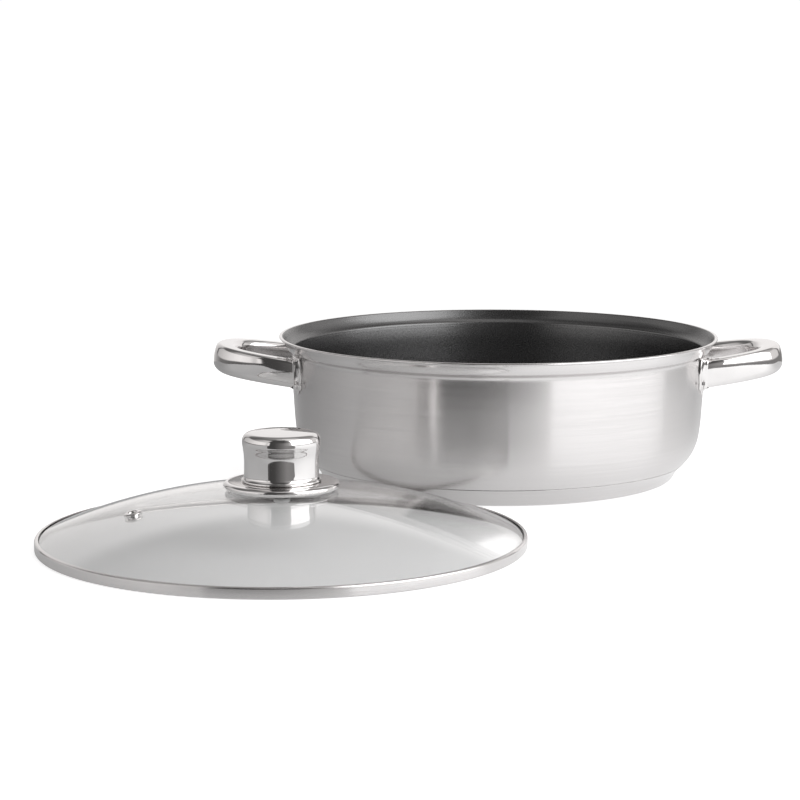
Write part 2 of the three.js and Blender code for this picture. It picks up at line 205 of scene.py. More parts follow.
class Nodes:
    """A material's node tree with short calls."""

    def __init__(self, name, **values):
        self.mat = bpy.data.materials.new(name)
        self.mat.use_nodes = True
        self.t = self.mat.node_tree
        self.bsdf = next(n for n in self.t.nodes if n.type == "BSDF_PRINCIPLED")
        self.out = next(n for n in self.t.nodes if n.type == "OUTPUT_MATERIAL")
        for k, v in values.items():
            self.bsdf.inputs[k.replace("_", " ")].default_value = v

    def node(self, kind, **settings):
        n = self.t.nodes.new(kind)
        for k, v in settings.items():
            setattr(n, k, v)
        return n

    def link(self, a, b):
        self.t.links.new(a, b)

    def coords(self, scale):
        c = self.node("ShaderNodeTexCoord")
        m = self.node("ShaderNodeMapping")
        m.inputs["Scale"].default_value = scale
        self.link(c.outputs["Object"], m.inputs["Vector"])
        return m.outputs["Vector"]

    def noise(self, scale, detail=2.0, rough=0.5, vector=None):
        n = self.node("ShaderNodeTexNoise")
        n.inputs["Scale"].default_value = 1.0
        n.inputs["Detail"].default_value = detail
        n.inputs["Roughness"].default_value = rough
        self.link(vector or self.coords(scale), n.inputs["Vector"])
        return n.outputs["Fac"]

    def ramp(self, fac, stops):
        r = self.node("ShaderNodeValToRGB")
        el = r.color_ramp.elements
        while len(el) < len(stops):
            el.new(0.5)
        for e, (pos, col) in zip(el, stops):
            e.position = pos
            e.color = (*col, 1) if hasattr(col, "__len__") else (col, col, col, 1)
        self.link(fac, r.inputs["Fac"])
        return r.outputs["Color"]

    def mix(self, a, b, fac, blend="MIX"):
        m = self.node("ShaderNodeMix", data_type="RGBA", blend_type=blend)
        for s, v in ((0, fac), (6, a), (7, b)):
            if hasattr(v, "links"):
                self.link(v, m.inputs[s])
            elif s == 0:
                m.inputs[s].default_value = v
            else:
                m.inputs[s].default_value = (*v, 1)
        return m.outputs[2]

    def math(self, op, a, b):
        m = self.node("ShaderNodeMath", operation=op)
        for i, v in enumerate((a, b)):
            if hasattr(v, "links"):
                self.link(v, m.inputs[i])
            else:
                m.inputs[i].default_value = v
        return m.outputs[0]

    def bump(self, height, strength, distance, under=None):
        b = self.node("ShaderNodeBump")
        b.inputs["Strength"].default_value = strength
        b.inputs["Distance"].default_value = distance
        self.link(height, b.inputs["Height"])
        if under:
            self.link(under, b.inputs["Normal"])
        return b.outputs["Normal"]

    def to(self, socket, output):
        self.link(output, self.bsdf.inputs[socket])


def satin_steel(name, rough=(0.205, 0.26), tone=0.66, lines=(14, 14, 850), strength=0.07, aniso=1.0):
    """Stainless steel with fine lines round the Z axis."""
    s = Nodes(name, Metallic=1.0, Anisotropic=aniso, Anisotropic_Rotation=0.25)
    fine = s.noise(lines, 3.0, 0.65)
    broad = s.noise((lines[0] * 0.6, lines[1] * 0.6, lines[2] * 0.3), 2.0, 0.6)
    both = s.math("ADD", s.math("MULTIPLY", fine, 0.8), s.math("MULTIPLY", broad, 0.2))
    cloud = s.noise((9, 9, 14), 3.0, 0.6)
    lo, hi = tone * 0.96, tone * 1.035
    base = s.ramp(both, [(0.3, (lo, lo * 0.975, lo * 0.97)), (0.7, (hi, hi * 0.978, hi * 0.974))])
    base = s.mix(base, (tone * 0.99, tone * 0.966, tone * 0.96), s.math("MULTIPLY", cloud, 0.35))
    s.to("Base Color", base)
    r = s.ramp(s.math("ADD", s.math("MULTIPLY", both, 0.7), s.math("MULTIPLY", cloud, 0.3)), [(0.32, rough[0]), (0.68, rough[1])])
    s.to("Roughness", r)
    s.to("Normal", s.bump(both, strength, 0.00004))
    t = s.node("ShaderNodeTangent", direction_type="RADIAL", axis="Z")
    s.link(t.outputs["Tangent"], s.bsdf.inputs["Tangent"])
    return s.mat


def polished_steel(name, tone=0.74, rough=(0.035, 0.085), wave=0.05):
    """Mirror-polished stainless steel: faint wipe marks, and the slight waviness of buffed sheet."""
    s = Nodes(name, Metallic=1.0)
    smear = s.noise((70, 70, 70), 4.0, 0.62)
    hair = s.noise((900, 260, 420), 3.0, 0.6)
    base = s.ramp(smear, [(0.3, (tone * 0.98, tone * 0.96, tone * 0.953)), (0.7, (tone * 1.02, tone * 1.0, tone * 0.993))])
    s.to("Base Color", base)
    s.to("Roughness", s.ramp(s.math("ADD", s.math("MULTIPLY", smear, 0.6), s.math("MULTIPLY", hair, 0.4)), [(0.35, rough[0]), (0.7, rough[1])]))
    s.to("Normal", s.bump(s.noise((42, 42, 42), 1.0, 0.4), wave, 0.002))
    return s.mat


def plain_steel(name, tone=0.55):
    s = Nodes(name, Metallic=1.0)
    grain = s.noise((1500, 1500, 1500), 3.0, 0.6)
    s.to("Base Color", s.ramp(grain, [(0.3, (tone * 0.92,) * 3), (0.7, (tone * 1.05,) * 3)]))
    s.to("Roughness", s.ramp(grain, [(0.3, 0.25), (0.7, 0.42)]))
    s.to("Normal", s.bump(grain, 0.08, 0.00005))
    return s.mat


def nonstick(name):
    """Dark coating with a fine grain and scattered paler specks."""
    s = Nodes(name, Metallic=0.0, IOR=1.72, Specular_IOR_Level=1.0)
    grain = s.noise((2100, 2100, 2100), 3.0, 0.65)
    cloud = s.noise((28, 28, 28), 3.0, 0.55)
    v = s.node("ShaderNodeTexVoronoi", feature="F1")
    v.inputs["Scale"].default_value = 1.0
    s.link(s.coords((820, 820, 820)), v.inputs["Vector"])
    speck = s.ramp(v.outputs["Distance"], [(0.0, 1.0), (0.16, 1.0), (0.32, 0.0)])
    base = s.ramp(s.math("ADD", s.math("MULTIPLY", grain, 0.7), s.math("MULTIPLY", cloud, 0.3)), [(0.3, (0.005, 0.005, 0.0052)), (0.72, (0.014, 0.0135, 0.0138))])
    base = s.mix(base, (0.06, 0.058, 0.059), s.math("MULTIPLY", speck, 0.5))
    s.to("Base Color", base)
    s.to("Roughness", s.ramp(grain, [(0.3, 0.22), (0.7, 0.32)]))
    s.to("Normal", s.bump(grain, 0.34, 0.00012))
    return s.mat


def clear_glass(name):
    """Tempered glass, let through by shadow rays so that the surface under it is lit."""
    s = Nodes(name, Metallic=0.0, IOR=1.5, Transmission_Weight=1.0)
    smear = s.noise((26, 26, 26), 4.0, 0.6)
    s.to("Base Color", s.ramp(smear, [(0.3, (0.975, 0.973, 0.969)), (0.7, (0.992, 0.99, 0.987))]))
    s.to("Roughness", s.ramp(smear, [(0.35, 0.0), (0.75, 0.012)]))
    path = s.node("ShaderNodeLightPath")
    clear = s.node("ShaderNodeBsdfTransparent")
    clear.inputs["Color"].default_value = (0.91, 0.905, 0.9, 1)
    m = s.node("ShaderNodeMixShader")
    s.link(path.outputs["Is Shadow Ray"], m.inputs["Fac"])
    s.link(s.bsdf.outputs["BSDF"], m.inputs[1])
    s.link(clear.outputs["BSDF"], m.inputs[2])
    s.link(m.outputs["Shader"], s.out.inputs["Surface"])
    return s.mat


def silicone(name):
    s = Nodes(name, Metallic=0.0)
    n = s.noise((700, 700, 700), 3.0, 0.6)
    s.to("Base Color", s.ramp(n, [(0.3, (0.58, 0.57, 0.55)), (0.7, (0.66, 0.65, 0.63))]))
    s.to("Roughness", s.ramp(n, [(0.3, 0.5), (0.7, 0.66)]))
    s.to("Normal", s.bump(n, 0.1, 0.0001))
    return s.mat


def moulding(name):
    s = Nodes(name, Metallic=0.0)
    n = s.noise((900, 900, 900), 4.0, 0.6)
    s.to("Base Color", s.ramp(n, [(0.3, (0.010, 0.010, 0.010)), (0.7, (0.022, 0.021, 0.021))]))
    s.to("Roughness", s.ramp(n, [(0.3, 0.42), (0.7, 0.6)]))
    s.to("Normal", s.bump(n, 0.15, 0.0001))
    return s.mat


def aluminium(name):
    s = Nodes(name, Metallic=1.0)
    n = s.noise((400, 400, 400), 3.0, 0.6)
    s.to("Base Color", s.ramp(n, [(0.3, (0.66, 0.67, 0.68)), (0.7, (0.76, 0.77, 0.78))]))
    s.to("Roughness", s.ramp(n, [(0.3, 0.35), (0.7, 0.5)]))
    return s.mat


SATIN = satin_steel("satin_steel_wall")
BAND = satin_steel("satin_steel_band", rough=(0.2, 0.26), tone=0.75)
BASE = satin_steel("half_polished_base", rough=(0.17, 0.24), tone=0.62, aniso=0.8)
POLISHED = polished_steel("polished_steel", tone=0.76)
FLARE = satin_steel("half_polished_flare", rough=(0.16, 0.21), tone=0.7, strength=0.015, aniso=0.6)
FASTENER = plain_steel("plain_steel")
COATING = nonstick("nonstick_coating")
GLASS = clear_glass("clear_glass")
SILICONE = silicone("pale_silicone")
MOULDING = moulding("dark_moulding")
ALUMINIUM = aluminium("plain_aluminium")

# ---------------------------------------------------------------- pot
step_line = [(0, 8.8), (60, 8.8), (113.4, 8.8), (117.5, 8.95), (119.8, 9.4), (121.6, 10.4), (124.05, 12.5), (124.78, 11.98)]
wall_line = spline(
    [(125.05, 12.0), (127.7, 15.2), (130.5, 19.8), (132.9, 26.5), (134.35, 36), (135.5, 52), (136.4, 68), (136.7, 82.5)], 10
)
flare_line = spline(
    [(136.7, 82.5), (137.1, 83.6), (138.2, 84.75), (139.8, 86.0), (141.2, 87.8), (142.05, 89.7), (142.4, 91.3)], 7
)
lip_line = spline(
    [(142.45, 91.9), (142.85, 92.3), (143.8, 92.45), (144.6, 92.6), (144.98, 93.12), (144.85, 93.6), (144.3, 93.92), (143.5, 93.94), (142.95, 93.76), (142.55, 93.35)], 4
)
inside_line = spline(
    [(142.55, 93.35), (141.7, 91.6), (140.75, 89.7), (139.4, 87.7), (138.0, 86.45), (136.85, 85.85), (136.3, 85.2), (136.1, 84.0), (135.95, 81.8), (135.7, 77), (135.4, 68), (134.5, 52), (133.35, 36.2), (131.9, 26.9), (129.6, 20.4), (126.9, 15.9), (124.3, 13.7), (121.6, 11.8), (119.2, 10.5), (116.6, 9.95), (113.4, 9.8)], 7
)
outer = step_line + wall_line + flare_line[1:] + lip_line
body_profile = outer + inside_line[1:] + [(60, 9.8), (0, 9.8)]
first_flare = len(step_line) + len(wall_line) - 1
last_lip = len(outer) + 3
kinds = [1 if first_flare <= j < last_lip else 0 for j in range(len(body_profile) - 1)]
pot = turned("pot_body", body_profile, [SATIN, FLARE], kinds, seg=256, sharp=50)
settle(pot, "pot", "satin_steel", "pot_shell")

coat_line = [(143.0, 93.78), (142.78, 93.62)] + inside_line
coat_out = offset(coat_line, -0.06)
coat_in = [offset(coat_line, -0.5 + 0.34 * max(0.0, min(1.0, (q[1] - 68) / 16)) ** 2)[k] for k, q in enumerate(coat_line)]
coat_out[-1], coat_in[-1] = (113.4, 9.9), (113.4, 10.3)
coat_profile = [(0, 9.9), (60, 9.9)] + coat_out[::-1] + coat_in + [(90, 10.3), (60, 10.3), (30, 10.3), (0, 10.3)]
coat = turned("nonstick_lining", coat_profile, [COATING], seg=256, sharp=50)
settle(coat, "pot", "nonstick", "nonstick_coating")

cap_out = spline([(112.4, 0.02), (114.8, 0.4), (116.6, 1.3), (117.7, 2.8), (118.75, 4.8), (120.4, 7.2), (122.6, 9.6), (124.4, 11.27)], 6)
cap_in = spline([(123.95, 11.9), (121.9, 10.15), (119.65, 7.75), (117.85, 5.2), (116.9, 3.25), (116.0, 2.0), (114.4, 1.25), (112.2, 0.9)], 4)
cap_profile = [(0, 0), (60, 0), (112.0, 0)] + cap_out + [(124.58, 11.47), (124.6, 11.62), (124.5, 11.75)] + cap_in + [(0, 0.9)]
cap = turned("base_cap_skin", cap_profile, [BASE], seg=256, sharp=50)
settle(cap, "pot", "base_steel", "base_cap")
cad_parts["aluminium_core"].data.materials.clear()
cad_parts["aluminium_core"].data.materials.append(ALUMINIUM)


# Handles: a crowned, round-cornered section carried round the loop.
def bezier(a, b, c, d, t):
    a, b, c, d = (Vector(v) for v in (a, b, c, d))
    u = 1 - t
    return a * u**3 + b * (3 * u * u * t) + c * (3 * u * t * t) + d * t**3


def half_loop(start, p1, h1, h2, p2, h3, h4, tip, steps):
    line = [Vector(start).lerp(Vector(p1), k / steps[0]) for k in range(steps[0])]
    line += [bezier(p1, h1, h2, p2, k / steps[1]) for k in range(steps[1])]
    line += [bezier(p2, h3, h4, tip, k / steps[2]) for k in range(steps[2] + 1)]
    return line


STEPS = (4, 26, 34)
outer_half = half_loop((130.4, 44.6), (136, 44.4), (150, 43.6), (163, 40.4), (173.8, 33.2), (182.6, 26.9), (188.9, 16), (188.9, 0), STEPS)
inner_half = half_loop((134.0, 31.6), (136, 31.6), (147, 31.0), (156, 28.8), (163.6, 24.4), (170.2, 20.2), (173.2, 12), (173.2, 0), STEPS)
outer_loop = outer_half + [Vector((p.x, -p.y)) for p in outer_half[-2::-1]]
inner_loop = inner_half + [Vector((p.x, -p.y)) for p in inner_half[-2::-1]]
HANDLE_MID_Z, RISE = 72.4, math.radians(8)
HALF_H, HALF_W = 9.15, 7.9
CROWN, LEAN = 1.35, -0.11


def section():
    """Unit points of the section, and how far each moves as the section leans: outer face crowned, one crisp edge and three soft ones."""
    w, h = HALF_W, HALF_H
    box = []
    for (x0, y0), (x1, y1) in (((-w, -h), (w, -h)), ((w, -h), (w, h)), ((w, h), (-w, h)), ((-w, h), (-w, -h))):
        box.append((x0, y0))
    line = rounded(box, [5.0, 4.4, 2.8, 5.0], 12)
    dense = []
    for a, b in zip(line, line[1:] + line[:1]):
        n = max(1, round(math.dist(a, b) / 1.1))
        dense += [(a[0] + (b[0] - a[0]) * k / n, a[1] + (b[1] - a[1]) * k / n) for k in range(n)]
    out = []
    for x, y in dense:
        u, v = x / w, y / h
        outer_share = (u + 1) / 2
        x2 = x - outer_share * CROWN * v * v + (1 - outer_share) * 0.5 * v * v
        out.append((x2 / w, (y - math.copysign(0.35 * u * u, y) * abs(v)) / h, -outer_share * LEAN * h * v / w))
    return out


UNIT = section()


def handle(name, side):
    verts, faces = [], []
    m = len(UNIT)
    for k, (o, i) in enumerate(zip(outer_loop, inner_loop)):
        c, d = (o + i) / 2, (o - i) / 2
        along = abs(2 * k / (len(outer_loop) - 1) - 1)
        lean = along * along * (3 - 2 * along)
        for p, q, move in UNIT:
            p += lean * move
            x, y, z = c.x + d.x * p - 130, c.y + d.y * p, HALF_H * q
            x, z = x * math.cos(RISE) - z * math.sin(RISE), x * math.sin(RISE) + z * math.cos(RISE)
            verts.append((side * (x + 130), side * y, z + HANDLE_MID_Z))
    n = len(outer_loop)
    for k in range(n - 1):
        for j in range(m):
            a, b = k * m + j, k * m + (j + 1) % m
            faces.append([a, b, b + m, a + m])
    faces += [list(range(m)), list(range((n - 1) * m, n * m))]
    ob = piece(name, verts, faces, [POLISHED], sharp=60)
    return ob


for side, word in ((1, "right"), (-1, "left")):
    settle(handle(f"handle_loop_{word}", side), "pot", "polished_steel", f"handle_{word}")


# Brackets: closed rings laid over the wall, from the leaf's edge up the collar to the leg.
def wall_r(z):
    line = wall_line + flare_line[1:]
    for (r0, z0), (r1, z1) in zip(line, line[1:]):
        if z0 <= z <= z1:
            return r0 + (r1 - r0) * (z - z0) / (z1 - z0)
    return line[-1][0]


def polar(points, angles):
    """Distance from the origin to a closed line in each direction."""
    out = []
    for a in angles:
        c, s = math.cos(a), math.sin(a)
        best = 0.0
        for k in range(len(points)):
            (x0, y0), (x1, y1) = points[k - 1], points[k]
            dx, dy = x1 - x0, y1 - y0
            det = c * dy - s * dx
            if abs(det) < 1e-12:
                continue
            t = (x0 * dy - y0 * dx) / det
            u = (x0 * s - y0 * c) / det
            if t > 0 and -1e-9 <= u <= 1 + 1e-9:
                best = max(best, t)
        out.append(best)
    return out


leaf = [tuple(bezier((0, -13.2), (2.6, -10.6), (8.6, -6.6), (9.0, 0.6), k / 24)) for k in range(24)]
leaf += [tuple(bezier((9.0, 0.6), (9.2, 5.0), (8.6, 8.4), (7.6, 11.4), k / 12)) for k in range(13)]
leaf += [(-x, y) for x, y in leaf[:0:-1]]
collar = rounded([(-7.2, -9.4), (7.2, -9.4), (7.2, 10.15), (-7.2, 10.15)], 2.8, 8)
ANGLES = [2 * math.pi * k / 144 + 1e-4 for k in range(144)]
LEAF, COLLAR = polar(leaf, ANGLES), polar(collar, ANGLES)
EDGE = [max(a, b + 0.7) for a, b in zip(LEAF, COLLAR)]
LEG_A = math.asin(38 / 136)


def bracket(name, x_sign, y_sign):
    rings = []
    for inset, h in ((0, 0.12), (0, 0.55), (0.06, 0.95), (0.25, 1.3), (0.6, 1.55), (1.1, 1.66)):
        rings.append(([e - inset for e in EDGE], h))
    for grow, h in ((2.0, 1.74), (1.4, 1.86), (0.9, 2.15), (0.5, 2.65), (0.22, 3.3), (0.06, 4.0), (0.0, 4.55), (-0.08, 4.9), (-0.25, 5.12), (-0.42, 5.2), (-0.5, 5.12), (-0.52, 4.7), (-0.52, 3.0)):
        top = [min(c + grow, e - 1.15) if grow > 0.3 else c + min(grow, e - c - 0.5) for c, e in zip(COLLAR, EDGE)]
        rings.append((top, h))
    verts, faces = [], []

    def place(s, v, h):
        up = max(0.0, h - 1.7)
        a = LEG_A + (s - up * math.tan(math.radians(12.2))) / 136
        z = HANDLE_MID_Z + v + up * math.tan(RISE)
        r = wall_r(z) + h
        return (x_sign * r * math.cos(a), y_sign * r * math.sin(a), z)

    n = len(ANGLES)
    for radii, h in rings:
        for a, r in zip(ANGLES, radii):
            verts.append(place(r * math.cos(a), r * math.sin(a), h))
    for k in range(len(rings) - 1):
        for j in range(n):
            a, b = k * n + j, k * n + (j + 1) % n
            faces.append([a, b, b + n, a + n])
    for k in (0, len(rings) - 1):
        verts.append(place(0, 0, rings[k][1]))
        for j in range(n):
            faces.append([k * n + j, k * n + (j + 1) % n, len(verts) - 1])
    return piece(name, verts, faces, [POLISHED], sharp=55)


for word, xs in (("right", 1), ("left", -1)):
    for place_word, ys in (("front", -1), ("rear", 1)):
        settle(bracket(f"leaf_bracket_{word}_{place_word}", xs, ys), "pot", "polished_steel", f"handle_bracket_{word}_{place_word}")

# ---------------------------------------------------------------- lid
LID = (-133.2, -226.2)
GLASS_R, EDGE_Z, TOP_Z, GLASS_T = 141.0, 5.0, 33.6, 4.0
rise = TOP_Z - EDGE_Z
DOME_R = (GLASS_R**2 + rise**2) / (2 * rise)


def dome_z(r):
    return TOP_Z - DOME_R + math.sqrt(DOME_R**2 - r * r)


radii = [4.2, 5.0] + [4 + 2.72 * k for k in range(1, 50)] + [139.4]
glass_top = [(r, dome_z(r)) for r in radii]
glass_under = [(r, dome_z(r) - GLASS_T) for r in radii]
z_edge = dome_z(GLASS_R)
edge = spline([(139.4, dome_z(139.4) - GLASS_T), (140.3, z_edge - 3.85), (140.9, z_edge - 3.1), (141.0, z_edge - 2.0), (140.9, z_edge - 0.8), (140.3, z_edge + 0.05), (139.4, dome_z(139.4))], 3)
hole = [(4.2, dome_z(4.2) - 0.2), (4.2, dome_z(4.2) - GLASS_T + 0.2)]
glass_profile = glass_under + edge[1:-1] + glass_top[::-1] + hole
glass = turned("lid_glass_dome", glass_profile, [GLASS], seg=224, axis=LID, ring=True, sharp=50)

vent_a = math.radians(199)
vent_r = 87.8
vent_frame = (
    Matrix.Translation(Vector((LID[0] + vent_r * math.cos(vent_a), LID[1] + vent_r * math.sin(vent_a), dome_z(vent_r))) * MM)
    @ Matrix.Rotation(vent_a, 4, "Z")
    @ Matrix.Rotation(math.asin(vent_r / DOME_R), 4, "Y")
)
bore = turned("vent_bore_tool", [(0, -10), (3.6, -10), (3.6, 10), (0, 10)], [GLASS], seg=48, at=vent_frame)
cut(glass, bore)
finish_shading(glass.data, 40)
settle(glass, "lid", "lid_glass", "lid_glass")

eyelet_profile = rounded(
    [(2.3, -6.2), (3.2, -6.2), (3.2, 0.42), (5.2, 0.42), (5.3, 0.8), (4.5, 1.35), (3.3, 1.5), (2.5, 1.25), (2.3, 0.5)],
    [0.2, 0.2, 0.1, 0.15, 0.3, 0.8, 0.8, 0.5, 0.6], 5,
)
settle(turned("vent_rivet", eyelet_profile, [POLISHED], seg=64, ring=True, at=vent_frame), "lid", "polished_steel", "vent_eyelet")
back_profile = rounded([(3.5, -5.6), (5.2, -5.6), (5.2, -4.6), (3.5, -4.6)], 0.3, 5)
settle(turned("vent_back_washer", back_profile, [POLISHED], seg=64, ring=True, at=vent_frame), "lid", "polished_steel", "vent_backing_ring")

band_profile = rounded(
    [(137.0, 0), (141.8, 0), (142.18, 0.4), (142.2, 2.8), (142.18, 5.5), (141.7, 6.15), (140.0, 6.48), (139.85, 5.95), (140.9, 5.6), (141.4, 5.0), (141.4, 1.4), (140.9, 0.65), (137.0, 0.6)],
    [0.25, 0.35, 0.4, 8, 0.45, 0.5, 0.22, 0.2, 0.3, 0.4, 0.4, 0.4, 0.25], 6,
)
settle(turned("lid_band", band_profile, [BAND], seg=256, axis=LID, ring=True, sharp=50), "lid", "satin_steel", "lid_rim_band")

under = TOP_Z - GLASS_T
settle(
    turned("gasket_above", rounded([(2.9, under + 0.3), (3.8, under + 0.3), (3.8, TOP_Z + 0.3), (13.2, TOP_Z + 0.3), (13.2, TOP_Z + 1.4), (2.9, TOP_Z + 1.4)], [0.2, 0.2, 0.2, 0.5, 0.5, 0.2], 6), [SILICONE], seg=96, axis=LID, ring=True),
    "lid", "silicone", "upper_gasket",
)
settle(
    turned("gasket_below", rounded([(2.9, under - 1.8), (12.4, under - 1.8), (12.4, under - 0.5), (2.9, under - 0.5)], [0.2, 0.6, 0.6, 0.2], 6), [SILICONE], seg=96, axis=LID, ring=True),
    "lid", "silicone", "lower_gasket",
)
settle(
    turned("washer_plain", rounded([(2.8, under - 3.1), (11.0, under - 3.1), (11.0, under - 1.95), (2.8, under - 1.95)], [0.15, 0.45, 0.2, 0.15], 6), [FASTENER], seg=96, axis=LID, ring=True),
    "lid", "fastener_steel", "clamp_washer",
)


def split_washer(name):
    """A spring washer: a square wire wound just under one turn, its ends apart."""
    sect = rounded([(2.8, 0), (4.5, 0), (4.5, 0.95), (2.8, 0.95)], 0.12, 3)
    verts, faces = [], []
    steps, m = 90, len(sect)
    for k in range(steps + 1):
        a = math.radians(8 + 344 * k / steps)
        z = under - 4.4 + 0.2 * k / steps
        for r, h in sect:
            verts.append((LID[0] + r * math.cos(a), LID[1] + r * math.sin(a), z + h))
    for k in range(steps):
        for j in range(m):
            a, b = k * m + j, k * m + (j + 1) % m
            faces.append([a, b, b + m, a + m])
    faces += [list(range(m)), list(range(steps * m, (steps + 1) * m))]
    return piece(name, verts, faces, [FASTENER], sharp=40)


settle(split_washer("washer_spring"), "lid", "fastener_steel", "lock_washer")

screw_profile = rounded(
    [(0, under - 7.4), (3.2, under - 7.4), (4.7, under - 6.2), (4.8, under - 4.55), (2.5, under - 4.55), (2.5, TOP_Z + 14.9), (1.9, TOP_Z + 15.6), (0, TOP_Z + 15.6)],
    [0, 1.6, 1.2, 0.2, 0.1, 0.2, 0.2, 0], 6, closed=False,
)
screw = turned("knob_bolt", screw_profile, [FASTENER], seg=72, axis=LID)
for wx, wy in ((2.6, 0.55), (0.55, 2.6)):
    v = [(LID[0] + sx * wx, LID[1] + sy * wy, under - 7.4 + sz * 1.6) for sx in (-1, 1) for sy in (-1, 1) for sz in (-1, 1)]
    f = [[0, 1, 3, 2], [4, 6, 7, 5], [0, 4, 5, 1], [2, 3, 7, 6], [0, 2, 6, 4], [1, 5, 7, 3]]
    cut(screw, piece("recess_tool", v, f, [FASTENER]))
finish_shading(screw.data, 35)
settle(screw, "lid", "fastener_steel", "knob_screw")

SKIRT = TOP_Z + 1.7
skirt_profile = rounded(
    [(2.9, 0), (14.8, 0), (16.4, -0.3), (28.6, -1.2), (29.8, -1.75), (30.4, -1.95)], [0.2, 1.5, 1.5, 1.0, 0.3, 0.2], 6, closed=False
) + spline([(30.9, -2.07), (31.7, -2.12), (32.55, -1.86), (33.22, -1.28), (33.56, -0.55), (33.6, 0.15), (33.25, 0.9), (32.55, 1.45), (31.5, 1.79), (30.2, 1.93), (28.4, 1.97), (26.0, 1.985)], 6) + [(2.9, 2.0)]
settle(turned("knob_plate", [(r, z + SKIRT) for r, z in skirt_profile], [POLISHED], seg=160, axis=LID, ring=True, sharp=50), "skirt", "polished_steel", "knob_skirt")

FOOT = SKIRT + 2.3
knob_out = spline(
    [(22.9, -0.2), (23.25, 0.2), (23.15, 0.85), (22.5, 1.45), (21.9, 2.4), (21.68, 4.2), (21.58, 10.0), (21.78, 15.0), (22.36, 19.5), (22.7, 22.2), (22.52, 24.5), (21.55, 26.5), (19.7, 27.62), (15.0, 28.2), (8.0, 28.48), (3.0, 28.58)], 8
) + [(0, 28.6)]
knob_in = [(0, 27.6), (8, 27.5)] + spline([(14.6, 27.2), (19.1, 26.7), (20.7, 25.6), (21.5, 24.0), (21.6, 22.2), (21.3, 19.5), (20.8, 15.0), (20.6, 10.0), (20.6, 1.4), (20.9, -0.2)], 4)
settle(
    turned("knob_cap", [(r, z + FOOT) for r, z in knob_out + knob_in] + [(22.9, FOOT - 0.2)], [POLISHED], seg=160, axis=LID, sharp=50),
    "knob", "polished_steel", "knob_shell",
)
core_profile = rounded(
    [(2.8, 0.3), (19.6, 0.3), (19.9, 1.2), (19.9, 10.0), (20.2, 15.5), (20.5, 20.0), (20.3, 23.6), (18.8, 25.6), (14.4, 26.4), (0, 26.8), (0, 14.6), (2.2, 14.2), (2.8, 13.4)],
    [0.2, 0.3, 0.3, 0, 0, 0, 0.6, 1.0, 2, 0, 0, 0.2, 0.2], 5,
)
settle(turned("knob_core_moulding", [(r, z + FOOT) for r, z in core_profile], [MOULDING], seg=96, axis=LID, ring=True), "knob", "knob_core", "knob_insert")

# ---------------------------------------------------------------- floor
# A pale sheet without a visible end, and a table at the same height that is seen in the reflections.
FLOOR_LIFT = 0.7


def one_sided(n, shader):
    """The shader from above; from below the sheet is clear, so that the underside can be looked at."""
    geo = n.node("ShaderNodeNewGeometry")
    clear = n.node("ShaderNodeBsdfTransparent")
    m = n.node("ShaderNodeMixShader")
    n.link(geo.outputs["Backfacing"], m.inputs["Fac"])
    n.link(shader, m.inputs[1])
    n.link(clear.outputs["BSDF"], m.inputs[2])
    n.link(m.outputs["Shader"], n.out.inputs["Surface"])


floor_mesh = bpy.data.meshes.new("floor")
rings_r = [0.0, 0.2, 0.45, 0.8, 1.4, 2.5, 5.0, 10.0, 24.0]
fv, ff = [(0, 0, -0.0004)], []
for r in rings_r[1:]:
    fv += [(r * math.cos(2 * math.pi * k / 96), r * math.sin(2 * math.pi * k / 96), -0.0004) for k in range(96)]
for k in range(96):
    ff.append([0, 1 + k, 1 + (k + 1) % 96])
    for j in range(len(rings_r) - 2):
        a, b = 1 + j * 96 + k, 1 + j * 96 + (k + 1) % 96
        ff.append([a, a + 96, b + 96, b])
floor_mesh.from_pydata(fv, [], ff)
floor = bpy.data.objects.new("floor", floor_mesh)
scene.collection.objects.link(floor)
fl = Nodes("pale_floor", Metallic=0.0, Roughness=0.85)
fl.bsdf.inputs["Specular IOR Level"].default_value = 0.1
grain = fl.noise((9, 9, 9), 3.0, 0.5)
fl.to("Base Color", fl.ramp(grain, [(0.3, (0.80, 0.80, 0.80)), (0.7, (0.82, 0.82, 0.82))]))
# Its own glow lifts it to a paper white, all of it far out.
reach = fl.node("ShaderNodeVectorMath", operation="LENGTH")
fl.link(fl.coords((1, 1, 0)), reach.inputs[0])
far = fl.node("ShaderNodeMapRange", interpolation_type="SMOOTHSTEP")
far.inputs["From Min"].default_value, far.inputs["From Max"].default_value = 0.45, 0.9
fl.link(reach.outputs["Value"], far.inputs["Value"])
glow = fl.node("ShaderNodeEmission")
glow.inputs["Strength"].default_value = FLOOR_LIFT
add = fl.node("ShaderNodeAddShader")
fl.link(fl.bsdf.outputs["BSDF"], add.inputs[0])
fl.link(glow.outputs["Emission"], add.inputs[1])
white = fl.node("ShaderNodeEmission")
white.inputs["Strength"].default_value = 1.02
near_far = fl.node("ShaderNodeMixShader")
fl.link(far.outputs["Result"], near_far.inputs["Fac"])
fl.link(add.outputs["Shader"], near_far.inputs[1])
fl.link(white.outputs["Emission"], near_far.inputs[2])
one_sided(fl, near_far.outputs["Shader"])
floor_mesh.materials.append(fl.mat)
for ray in ("glossy", "diffuse", "transmission", "shadow"):
    setattr(floor, "visible_" + ray, False)

